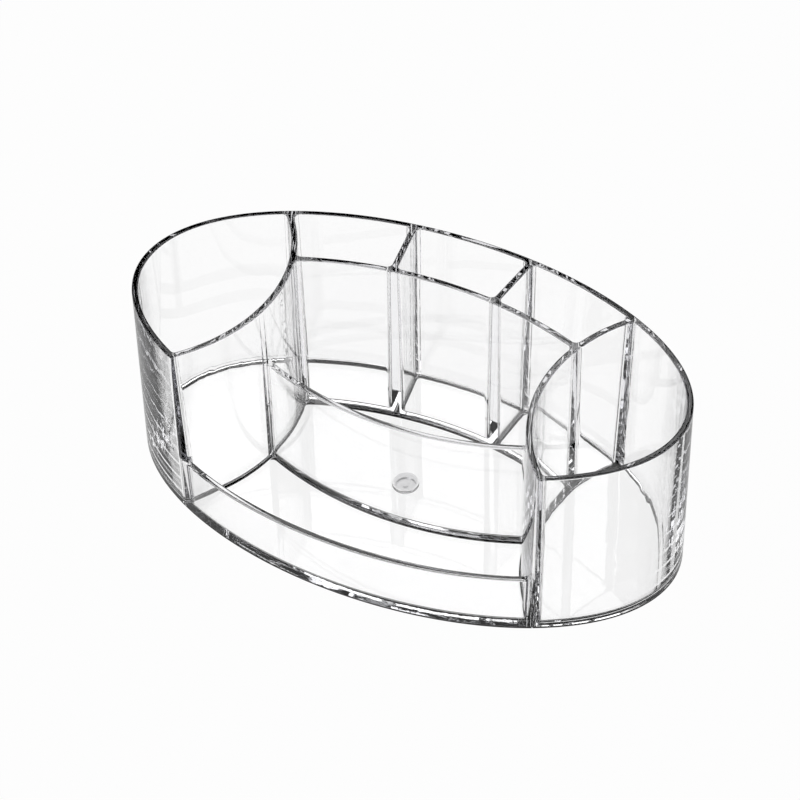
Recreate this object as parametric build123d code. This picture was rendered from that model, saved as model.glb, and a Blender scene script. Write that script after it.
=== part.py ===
"""Oval clear organizer: upright curved panels bonded to an elliptical base, open at the top.

Millimetres, +Z up. The origin is the centre of the underside, X runs along the oval and the low
front panel faces -Y. Every upright face has draft, so each plan is drawn for one level, and a
space or a form joins its plans at two levels. Panels of one height are drawn as one rounded form,
with the compartments taken out of it, and the form is then cut along the bond lines into its
panels.
"""

import os
from math import hypot, radians, tan

from build123d import *

# Overall size of the oval at its rim, and the three panel heights above the table
LENGTH = 225.0
WIDTH = 124.5
HEIGHT = 78.9
TRAY_HEIGHT = 52.6
FRONT_HEIGHT = 26.3

# Thickness of the panels at their rims, and of the floor
WALL = 2.5
FLOOR = 3.0

# Draft in degrees, which thickens every panel downwards: of the partitions' faces, and of the
# inner and the outer face of the shell, that is the outer wall and the front panel
DRAFT = 0.5
SHELL_DRAFT = 1.7
SHELL_FLARE = 0.4

# The cement line between two panels, the land that a tall panel butts on, and the wider cement
# line at the ends of the two low panels
BOND = 0.1
LAND = 0.1
LOW_BOND = 0.2

# End partitions: arcs that bulge towards the middle, one round each cup
END_RADIUS = 66.5
END_CENTRE_X = 122.6
END_CENTRE_Y = 1.2

# Rear partition: an arc that bulges to the back, with the dividers radial to its centre
REAR_RADIUS = 158.3
REAR_CROWN_Y = 34.0
DIVIDER_ANGLE = 7.75

# Tray partition: an arc that bulges to the front
TRAY_RADIUS = 136.6
TRAY_CROWN_Y = -20.4

# Roundings: rims, upright corners of the cups and of the rest, front posts, floor, underside
RIM_ROUND = 0.7
CUP_ROUND = 1.5
CORNER_ROUND = 2.2
POST_ROUND = 1.2
COVE = 1.0
FOOT_ROUND = 0.8

# Gate mark near the middle of the floor: a raised pad, and below it a well with a nub
GATE_Y = -1.8
GATE_DIAMETER = 10.6
GATE_RISE = 1.2
GATE_ROUND = 0.8
GATE_WELL_DIAMETER = 8.0
GATE_WELL_DEPTH = 0.8
GATE_NUB_DIAMETER = 2.0
GATE_NUB_RISE = 0.5

# Sizes that follow from the ones above
HALF_WALL = WALL / 2
PLINTH = FLOOR + COVE
SEAT = PLINTH + BOND
SPACE_TOP = HEIGHT + PLINTH
FLARE_REACH = 3 * CORNER_ROUND
REAR_CENTRE = Pos(0, REAR_CROWN_Y - REAR_RADIUS)
TRAY_CENTRE = Pos(0, TRAY_CROWN_Y + TRAY_RADIUS)
SIDES = {"left": -1, "right": 1}


def lean(level, rim=HEIGHT, draft=DRAFT):
    """How far a drafted face stands out at a level from its place at the rim."""
    return tan(radians(draft)) * (rim - level)


def flare(level):
    """How far the shell's outer face stands out at a level from its place at the tall rim."""
    return lean(level, HEIGHT, SHELL_FLARE)


def oval(level):
    """The oval inside the shell's outer face at a level."""
    return Ellipse(LENGTH / 2 + flare(level), WIDTH / 2 + flare(level))


def inner_oval(level, inset=0.0, rim=HEIGHT):
    """The oval inside the shell's inner face at a level, drawn in further by an inset."""
    drawn_in = WALL - flare(rim) + lean(level, rim, SHELL_DRAFT) + inset
    return Ellipse(LENGTH / 2 - drawn_in, WIDTH / 2 - drawn_in)


def disc(level, centre, radius, grow, rim=HEIGHT):
    """The disc inside one face of a curved panel, grown from the panel's middle line."""
    spread = lean(level, rim) if grow > 0 else -lean(level, rim)
    return centre * Circle(radius + grow + spread)


def end_disc(level, side, grow):
    return disc(level, Pos(SIDES[side] * END_CENTRE_X, END_CENTRE_Y), END_RADIUS, grow)


def end_discs(level, grow):
    return end_disc(level, "left", grow) + end_disc(level, "right", grow)


def rear_disc(level, grow):
    return disc(level, REAR_CENTRE, REAR_RADIUS, grow)


def tray_disc(level, grow):
    return disc(level, TRAY_CENTRE, TRAY_RADIUS, grow, TRAY_HEIGHT)


def front_half():
    return Pos(0, -WIDTH) * Rectangle(2 * LENGTH, 2 * WIDTH)


def divider_strip(level, side):
    """A strip as wide as a divider, from the rear partition's centre out past the oval."""
    reach = REAR_RADIUS + WIDTH
    line = REAR_CENTRE * Rot(0, 0, -SIDES[side] * DIVIDER_ANGLE) * Pos(0, reach / 2)
    return line * Rectangle(WALL + 2 * lean(level), reach)


def rounded(plan, radius, chosen=lambda corner: True):
    """A plan with its chosen corners rounded."""
    block = extrude(Sketch() + plan, WALL)
    corners = block.edges().filter_by(Axis.Z).filter_by(chosen)
    return fillet(corners, radius).faces().sort_by(Axis.Z)[0]


def cup(level, side):
    """A round compartment at one end, with its tighter corner at the front post."""
    plan = inner_oval(level) & end_disc(level, side, -HALF_WALL)
    plan = rounded(plan, CORNER_ROUND, lambda corner: corner.center().Y > WALL)
    return rounded(plan, CUP_ROUND, lambda corner: corner.center().Y < -WALL)


def slot(level, number):
    """A compartment behind the rear partition, counted from the left."""
    plan = inner_oval(level) - rear_disc(level, HALF_WALL) - end_discs(level, HALF_WALL)
    for side in SIDES:
        plan -= divider_strip(level, side)
    return rounded(plan.faces().sort_by(Axis.X)[number], CORNER_ROUND)


def well(level):
    """The middle compartment, between the rear and tray partitions."""
    plan = rear_disc(level, -HALF_WALL) & tray_disc(level, -HALF_WALL)
    return rounded(plan - end_discs(level, HALF_WALL), CORNER_ROUND)


def tray(level):
    """The front compartment, between the tray partition and the front panel."""
    plan = inner_oval(level, 0.0, FRONT_HEIGHT) & front_half()
    plan -= tray_disc(level, HALF_WALL)
    return rounded(plan - end_discs(level, HALF_WALL), CORNER_ROUND)


def drafted(plan, low=0.0, high=SPACE_TOP):
    """The space between a plan's shapes at two levels, joined by straight lines."""
    return loft([Pos(0, 0, level) * plan(level) for level in (low, high)], ruled=True)


def tall_spaces(low=0.0):
    """The cups and the slots, from a level up past the rim."""
    cups = [drafted(lambda level: cup(level, side), low) for side in SIDES]
    slots = []
    for number in range(len(SIDES) + 1):
        slots.append(drafted(lambda level: slot(level, number), low))
    return cups + slots


def low_spaces(low=0.0):
    """The well and the tray, from a level up past the rim."""
    return [drafted(plan, low) for plan in (well, tray)]


def slab(low, high):
    """Everything between two levels."""
    return Pos(0, 0, (low + high) / 2) * Box(2 * LENGTH, 2 * WIDTH, high - low)


def with_rounded_rim(form, chosen=lambda edge: True):
    """A form with the chosen edges of its flat top rounded."""
    return fillet(form.edges().group_by(Axis.Z)[-1].filter_by(chosen), RIM_ROUND)


def inside_shell(edge):
    """Whether an edge runs clear of the shell's outer face."""
    place = edge @ 0.5
    return hypot(place.X / (LENGTH - WALL), place.Y / (WIDTH - WALL)) < 0.5


def low_form(top, chosen=lambda edge: True):
    """The oval up to a level, less the well and the tray: the panels lower than the rest."""
    form = drafted(oval, SEAT, top)
    for space in low_spaces():
        form -= space
    return with_rounded_rim(form, chosen)


def at_well(corner):
    """Whether a corner of the tall plan is one of the two where the well meets the ends."""
    place = corner.center()
    return place.Y > WALL and abs(place.X) < END_CENTRE_X - END_RADIUS + FLARE_REACH


def tall_plan(level):
    """The oval round the cups and behind the well."""
    plan = oval(level) & end_discs(level, HALF_WALL)
    plan += oval(level) - rear_disc(level, -HALF_WALL)
    return rounded(plan, CORNER_ROUND, at_well)


def climbs(edge):
    return abs((edge @ 1 - edge @ 0).Z) > edge.length / 2


def tall_form():
    """The block over the tall plan, less the cups and slots: the tall panels.

    Its two front posts are rounded only above the front panel, which runs on flush from them.
    """
    block = drafted(tall_plan, SEAT, HEIGHT)
    shaft = block & slab(FRONT_HEIGHT, HEIGHT)
    posts = shaft.edges().filter_by(climbs).sort_by(Axis.Y)[:2]
    form = (block & slab(SEAT, FRONT_HEIGHT)) + fillet(posts, POST_ROUND)
    for space in tall_spaces():
        form -= space
    return with_rounded_rim(form)


def end_zone(side, gap=0.0):
    """The space an end partition takes up, with its flare at the rear of the outer wall."""
    def plan(level):
        corner = end_disc(level, side, HALF_WALL + FLARE_REACH)
        corner -= rear_disc(level, HALF_WALL + FLARE_REACH)
        return end_disc(level, side, HALF_WALL + LAND + gap) + corner
    return drafted(plan)


def rear_zone(gap=0.0):
    """The space the rear partition takes up, with its flares at the end partitions."""
    def plan(level):
        corners = rear_disc(level, HALF_WALL + FLARE_REACH)
        corners &= end_discs(level, HALF_WALL + FLARE_REACH)
        return rear_disc(level, HALF_WALL + LAND + gap) + corners
    return drafted(plan)


def tray_zone():
    """The space the tray partition takes up, with its flares at the end partitions."""
    def plan(level):
        band = tray_disc(level, HALF_WALL + FLARE_REACH) & inner_oval(level, FLARE_REACH)
        band -= tray_disc(level, -HALF_WALL - FLARE_REACH)
        return band - end_discs(level, HALF_WALL + LOW_BOND)
    return drafted(plan)


def front_zone():
    """The space the front panel takes up, with its flares at the end partitions."""
    def plan(level):
        band = front_half() - inner_oval(level, FLARE_REACH, FRONT_HEIGHT)
        return band - end_discs(level, HALF_WALL + LOW_BOND)
    return drafted(plan)


def tall_panels():
    """The tall form cut along its bond lines. The right-hand panels mirror the left-hand ones."""
    form = tall_form()
    panels = {"outer_wall": form - drafted(lambda level: inner_oval(level, LAND))}
    rest = form & drafted(lambda level: inner_oval(level, LAND + BOND))
    panels["left_end_partition"] = rest & end_zone("left")
    for side in SIDES:
        rest -= end_zone(side, BOND)
    panels["rear_partition"] = rest & rear_zone()
    panels["left_divider"] = (rest - rear_zone(BOND)).solids().sort_by(Axis.X)[0]
    for panel in ("end_partition", "divider"):
        panels[f"right_{panel}"] = mirror(panels[f"left_{panel}"], Plane.YZ)
    return panels


def base_plate():
    """The oval floor, with a coved plinth under every panel and the gate mark near its middle."""
    plate = drafted(oval, 0.0, PLINTH)
    plate = fillet(plate.edges().group_by(Axis.Z)[0], FOOT_ROUND)
    for recess in tall_spaces(FLOOR) + low_spaces(FLOOR):
        plate -= fillet(recess.edges().group_by(Axis.Z)[0], COVE)
    pad = Pos(0, GATE_Y, FLOOR) * extrude(Circle(GATE_DIAMETER / 2), GATE_RISE)
    plate += fillet(pad.edges().group_by(Axis.Z)[-1], GATE_ROUND)
    plate -= Pos(0, GATE_Y) * extrude(Circle(GATE_WELL_DIAMETER / 2), GATE_WELL_DEPTH)
    nub = extrude(Circle(GATE_NUB_DIAMETER / 2), GATE_NUB_RISE)
    return plate + Pos(0, GATE_Y, GATE_WELL_DEPTH - GATE_NUB_RISE) * nub


def build():
    """Every panel of the organizer, by node name."""
    panels = {"base_plate": base_plate()}
    panels.update(tall_panels())
    panels["tray_partition"] = low_form(TRAY_HEIGHT, inside_shell) & tray_zone()
    panels["front_wall"] = low_form(FRONT_HEIGHT) & front_zone()
    return panels


if __name__ == "__main__":
    os.makedirs("parts", exist_ok=True)
    for name, panel in build().items():
        panel.label = name
        export_step(panel, f"parts/{name}.step")
        print(name, len(panel.solids()), panel.is_valid, round(panel.volume, 1), panel.bounding_box())
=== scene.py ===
"""Clear oval makeup organizer standing on a white studio table.

Each panel is shown by a copy of its CAD mesh. Cement leaves no air between two panels, so the
faces that look across a cement line are marked, and the clear material lets light pass them.
Metres, +Z up, in the CAD frame.
"""
import math

import bmesh
import bpy
from mathutils import Matrix, Vector
from mathutils.bvhtree import BVHTree


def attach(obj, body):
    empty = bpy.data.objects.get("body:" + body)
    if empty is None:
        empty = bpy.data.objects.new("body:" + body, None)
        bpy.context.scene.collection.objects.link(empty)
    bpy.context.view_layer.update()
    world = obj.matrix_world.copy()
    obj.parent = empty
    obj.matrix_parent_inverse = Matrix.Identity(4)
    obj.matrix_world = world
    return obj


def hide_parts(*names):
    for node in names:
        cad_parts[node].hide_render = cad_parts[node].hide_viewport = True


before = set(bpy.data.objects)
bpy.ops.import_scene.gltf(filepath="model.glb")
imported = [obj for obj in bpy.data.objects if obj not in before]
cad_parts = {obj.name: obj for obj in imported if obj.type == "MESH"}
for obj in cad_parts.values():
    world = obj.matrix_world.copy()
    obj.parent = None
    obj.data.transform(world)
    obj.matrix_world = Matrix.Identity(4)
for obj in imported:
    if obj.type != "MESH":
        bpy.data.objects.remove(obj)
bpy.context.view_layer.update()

scene = bpy.context.scene

# Camera, fitted to the photograph's rim and base outlines
FRAME_PX = 800
FOCAL_PX = 2696.47
SENSOR_MM = 36.0
NEAR_CLIP = 0.01
AZIMUTH = math.radians(26.828)
ELEVATION = math.radians(44.261)
ROLL = math.radians(-1.254)
DISTANCE = 1.04001
TARGET = Vector((-0.005918, 0.005767, 0.039))

# Clear acrylic: how it bends and tints light, and how often light may turn inside the walls
WHITE = (1.0, 1.0, 1.0, 1.0)
IOR = 1.49
TINT = (0.48, 0.475, 0.54, 1.0)
TINT_DENSITY = 5.0
LIGHT_BOUNCES = 64

# A face is cemented if another panel faces it within reach. Facing is the dot product of the two
# normals, and tiny is what counts as no distance
CEMENT_REACH = 0.00026
FACING = -0.9
TINY = 1e-6

# Streaks drawn up the walls: their scale and depth, and where and how far they dull the polish
STREAK_SCALE = (160.0, 160.0, 10.0)
STREAK_DETAIL = 3.0
STREAK_DEPTH = 1.2e-5
DULL_STREAKS = (0.62, 0.8)
POLISH = (0.0, 0.015)

# Frosted top of the gate mark: its centre, where its edge fades, and how flat the spot is
GATE_TOP = Vector((0.0, -0.0018, 0.0042))
GATE_EDGE = (0.00424, 0.0053)
GATE_FLATNESS = (1.0, 1.0, 4.0)
GATE_FROST = 0.3
GATE_GREY = (0.55, 0.55, 0.56, 1.0)

# White table, and the painted pool of light that it shows in reflections: how far off it dims and how
# much
TABLE_LEVEL = -0.0003
TABLE_HALF = 3.0
TABLE_GREY = (0.9, 0.9, 0.9, 1.0)
TABLE_MATT = 0.02
TABLE_POOL_FADE = (0.3, 0.6)
MIRRORED_TABLE = 0.55

# Painted shade, a dim sheet on the table under the panels' feet: its place, soft edge and light,
# and how far above its lowest point a panel's foot reaches
SHADE_LEVEL = -0.0002
SHADE_EDGE = 0.00015
SHADE_LIGHT = 0.0
FOOT_REACH = 0.00015

# Soft box behind the table, which the floors mirror: its light, and where its lower, upper and
# side edges fade, the first two in degrees of elevation and the last as sines
BOX_LIGHT = 2.0
BOX_LOW = (41.5, 43.3)
BOX_HIGH = (49.5, 52.5)
BOX_SIDE = (0.12, 0.156)

# Key lamp at the left
LAMP_AZIMUTH = math.radians(250.0)
LAMP_ELEVATION = math.radians(60.0)
LAMP_DISTANCE = 1.2
LAMP_SIZE = 0.6
LAMP_RADIANCE = 2.0


def new_node(tree, kind, inputs, **settings):
    """A shader node with its settings, and its inputs linked or set."""
    node = tree.nodes.new("ShaderNode" + kind)
    for name, value in settings.items():
        setattr(node, name, value)
    for name, value in inputs.items():
        if isinstance(value, bpy.types.NodeSocket):
            tree.links.new(value, node.inputs[name])
        else:
            node.inputs[name].default_value = value
    return node


def faded(tree, value, edge, ends):
    """The way from one end to the other as a value crosses a soft edge."""
    return new_node(tree, "MapRange", {
        "Value": value, "From Min": edge[0], "From Max": edge[1],
        "To Min": ends[0], "To Max": ends[1],
    }, interpolation_type="SMOOTHSTEP").outputs["Result"]


def combined(tree, operation, first, second=0.0):
    """The result of a math operation on one or two sockets or numbers."""
    return new_node(tree, "Math", {0: first, 1: second}, operation=operation).outputs[0]


def product(tree, first, second):
    return combined(tree, "MULTIPLY", first, second)


def clear_acrylic():
    """Clear, polished acrylic with faint streaks up the walls and a frosted gate mark."""
    material = bpy.data.materials.new("clear_acrylic")
    material.use_nodes = True
    tree = material.node_tree
    shader = tree.nodes["Principled BSDF"]
    shader.inputs["Transmission Weight"].default_value = 1.0
    shader.inputs["IOR"].default_value = IOR

    place = new_node(tree, "TexCoord", {}).outputs["Object"]
    drawn = new_node(tree, "Mapping", {"Vector": place, "Scale": STREAK_SCALE})
    streaks = new_node(tree, "TexNoise", {
        "Vector": drawn.outputs["Vector"], "Scale": 1.0, "Detail": STREAK_DETAIL,
    }).outputs["Fac"]
    bump = new_node(tree, "Bump", {"Height": streaks, "Distance": STREAK_DEPTH})
    tree.links.new(bump.outputs["Normal"], shader.inputs["Normal"])

    offset = new_node(tree, "VectorMath", {0: place, 1: GATE_TOP}, operation="SUBTRACT").outputs[0]
    spot = new_node(tree, "VectorMath", {0: offset, 1: GATE_FLATNESS}, operation="MULTIPLY").outputs[0]
    reach = new_node(tree, "VectorMath", {0: spot}, operation="LENGTH").outputs["Value"]
    gate = faded(tree, reach, GATE_EDGE, (1.0, 0.0))
    frost = product(tree, gate, GATE_FROST)
    polish = faded(tree, streaks, DULL_STREAKS, POLISH)
    tree.links.new(combined(tree, "MAXIMUM", frost, polish), shader.inputs["Roughness"])
    colour = new_node(tree, "MixRGB", {"Fac": gate, "Color1": WHITE, "Color2": GATE_GREY})
    tree.links.new(colour.outputs["Color"], shader.inputs["Base Color"])

    exposed = new_node(tree, "Attribute", {}, attribute_name="exposed")
    tree.links.new(exposed.outputs["Fac"], shader.inputs["Alpha"])
    tint = new_node(tree, "VolumeAbsorption", {"Color": TINT, "Density": TINT_DENSITY})
    tree.links.new(tint.outputs["Volume"], tree.nodes["Material Output"].inputs["Volume"])
    return material


def across_cement(face, others):
    """Whether a face looks at another panel across a cement line."""
    start = face.center + face.normal * TINY
    for tree in others:
        place, normal, _, _ = tree.ray_cast(start, face.normal, CEMENT_REACH)
        if place is not None and normal.dot(face.normal) < FACING:
            return True
    return False


def add_panels(material):
    """A clear copy of every CAD panel, with its cemented faces marked."""
    trees = {}
    for name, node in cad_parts.items():
        corners = [vertex.co for vertex in node.data.vertices]
        trees[name] = BVHTree.FromPolygons(corners, [face.vertices for face in node.data.polygons])
    for name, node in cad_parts.items():
        mesh = node.data.copy()
        mesh.name = f"{name}_clear"
        others = [tree for other, tree in trees.items() if other != name]
        exposed = [0.0 if across_cement(face, others) else 1.0 for face in mesh.polygons]
        mesh.attributes.new("exposed", "FLOAT", "FACE").data.foreach_set("value", exposed)
        mesh.materials.clear()
        mesh.materials.append(material)
        panel = bpy.data.objects.new(f"{name}_clear", mesh)
        scene.collection.objects.link(panel)
        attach(panel, "root")
        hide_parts(name)


def table_material(name, light):
    """White to the camera and straight through the clear panels, and by way of reflections a painted
    pool of light that dims far off and when mirrored.

    The light is a function that gives a socket or number to scale it by. A small matt share keeps
    the object's shadow.
    """
    material = bpy.data.materials.new(name)
    material.use_nodes = True
    tree = material.node_tree
    tree.nodes.clear()
    ray = new_node(tree, "LightPath", {}).outputs
    place = new_node(tree, "NewGeometry", {}).outputs["Position"]
    reach = new_node(tree, "VectorMath", {0: place}, operation="LENGTH").outputs["Value"]
    # Painted pool of light: after a reflection the table glows only near the object
    lit_pool = faded(tree, reach, TABLE_POOL_FADE, (1.0, 0.0))
    # A transmitted ray counts as a glossy one too, so it is taken off
    bounced = combined(tree, "SUBTRACT", ray["Is Glossy Ray"], ray["Is Transmission Ray"])
    mirrored = faded(tree, bounced, (0.0, 1.0), (1.0, MIRRORED_TABLE))
    # A straight path is one with no reflection so far
    straight = combined(tree, "LESS_THAN", ray["Glossy Depth"], 0.5)
    seen = combined(tree, "MAXIMUM", product(tree, lit_pool, mirrored), straight)
    white = new_node(tree, "Emission", {"Strength": product(tree, seen, light(tree))})
    matt = new_node(tree, "BsdfDiffuse", {"Color": TABLE_GREY})
    both = new_node(tree, "MixShader", {0: TABLE_MATT, 1: white.outputs[0], 2: matt.outputs[0]})
    new_node(tree, "OutputMaterial", {"Surface": both.outputs[0]})
    return material


def add_stage_mesh(name, form, material):
    """A piece of the stage, from a form that is used up."""
    mesh = bpy.data.meshes.new(name)
    form.to_mesh(mesh)
    form.free()
    mesh.materials.append(material)
    item = bpy.data.objects.new(name, mesh)
    scene.collection.objects.link(item)


def add_table():
    form = bmesh.new()
    bmesh.ops.create_grid(form, size=TABLE_HALF, matrix=Matrix.Translation((0.0, 0.0, TABLE_LEVEL)))
    add_stage_mesh("table", form, table_material("table", lambda tree: 1.0))


def add_shade():
    """Painted shade: a dim sheet on the table under the feet of the panels, all but the base, which
    keep light from it.
    """
    form = bmesh.new()
    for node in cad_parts.values():
        foot = min(vertex.co.z for vertex in node.data.vertices)
        if foot < FOOT_REACH:
            continue
        for face in node.data.polygons:
            if face.normal.z > FACING or face.center.z > foot + FOOT_REACH:
                continue
            corners = [node.data.vertices[index].co for index in reversed(face.vertices)]
            form.faces.new([form.verts.new((corner.x, corner.y, SHADE_LEVEL)) for corner in corners])
    bmesh.ops.remove_doubles(form, verts=form.verts, dist=TINY)
    bmesh.ops.inset_region(form, faces=form.faces[:], thickness=SHADE_EDGE, use_boundary=True)
    layer = form.verts.layers.float.new("light")
    for vertex in form.verts:
        vertex[layer] = 1.0 if vertex.is_boundary else SHADE_LIGHT

    def light(tree):
        return new_node(tree, "Attribute", {}, attribute_name="light").outputs["Fac"]
    add_stage_mesh("shade", form, table_material("shade", light))


def add_room():
    """A dark room with the soft box, white where the camera sees past the table."""
    world = bpy.data.worlds.new("room")
    scene.world = world
    world.use_nodes = True
    tree = world.node_tree
    way = new_node(tree, "TexCoord", {}).outputs["Generated"]

    def along(axis):
        return new_node(tree, "VectorMath", {0: way, 1: axis}, operation="DOT_PRODUCT").outputs["Value"]
    rise = along((0.0, 0.0, 1.0))
    aside = along((math.cos(AZIMUTH), math.sin(AZIMUTH), 0.0))
    ahead = along((-math.sin(AZIMUTH), math.cos(AZIMUTH), 0.0))
    behind = combined(tree, "GREATER_THAN", ahead)
    low, high = [[math.sin(math.radians(edge)) for edge in edges] for edges in (BOX_LOW, BOX_HIGH)]
    bottom = faded(tree, rise, low, (0.0, BOX_LIGHT))
    top = faded(tree, rise, high, (1.0, 0.0))
    sides = faded(tree, combined(tree, "ABSOLUTE", aside), BOX_SIDE, (1.0, 0.0))
    box = product(tree, product(tree, bottom, top), product(tree, sides, behind))
    camera_ray = new_node(tree, "LightPath", {}).outputs["Is Camera Ray"]
    background = tree.nodes["Background"]
    background.inputs["Color"].default_value = WHITE
    tree.links.new(combined(tree, "MAXIMUM", camera_ray, box), background.inputs["Strength"])


def add_lamp():
    """A soft square lamp that faces the object, unseen by the camera."""
    data = bpy.data.lights.new("key_light", "AREA")
    data.shape = "SQUARE"
    data.size = LAMP_SIZE
    data.energy = LAMP_RADIANCE * math.pi * LAMP_SIZE * LAMP_SIZE
    lamp = bpy.data.objects.new("key_light", data)
    scene.collection.objects.link(lamp)
    level = math.cos(LAMP_ELEVATION)
    east, north = math.sin(LAMP_AZIMUTH) * level, math.cos(LAMP_AZIMUTH) * level
    towards = Vector((east, north, math.sin(LAMP_ELEVATION)))
    lamp.location = TARGET + towards * LAMP_DISTANCE
    lamp.rotation_euler = towards.to_track_quat("Z", "Y").to_euler()
    lamp.visible_camera = False


def add_camera():
    data = bpy.data.cameras.new("camera")
    data.sensor_width = SENSOR_MM
    data.lens = FOCAL_PX / FRAME_PX * SENSOR_MM
    data.clip_start = NEAR_CLIP
    camera = bpy.data.objects.new("camera", data)
    scene.collection.objects.link(camera)
    level = math.cos(ELEVATION)
    back = Vector((math.sin(AZIMUTH) * level, -math.cos(AZIMUTH) * level, math.sin(ELEVATION)))
    right = Vector((0.0, 0.0, 1.0)).cross(back).normalized()
    up = back.cross(right)
    across = math.cos(ROLL) * right + math.sin(ROLL) * up
    upright = math.cos(ROLL) * up - math.sin(ROLL) * right
    placed = Matrix((across, upright, back)).transposed().to_4x4()
    placed.translation = TARGET + back * DISTANCE
    camera.matrix_world = placed
    scene.camera = camera


def set_light_paths():
    """Plain colours, and enough bounces for light that runs down inside the walls."""
    scene.view_settings.view_transform = "Standard"
    scene.cycles.max_bounces = LIGHT_BOUNCES
    scene.cycles.glossy_bounces = LIGHT_BOUNCES
    scene.cycles.transmission_bounces = LIGHT_BOUNCES
    scene.cycles.transparent_max_bounces = LIGHT_BOUNCES
    scene.cycles.use_denoising = True


set_light_paths()
add_camera()
add_panels(clear_acrylic())
add_table()
add_shade()
add_room()
add_lamp()
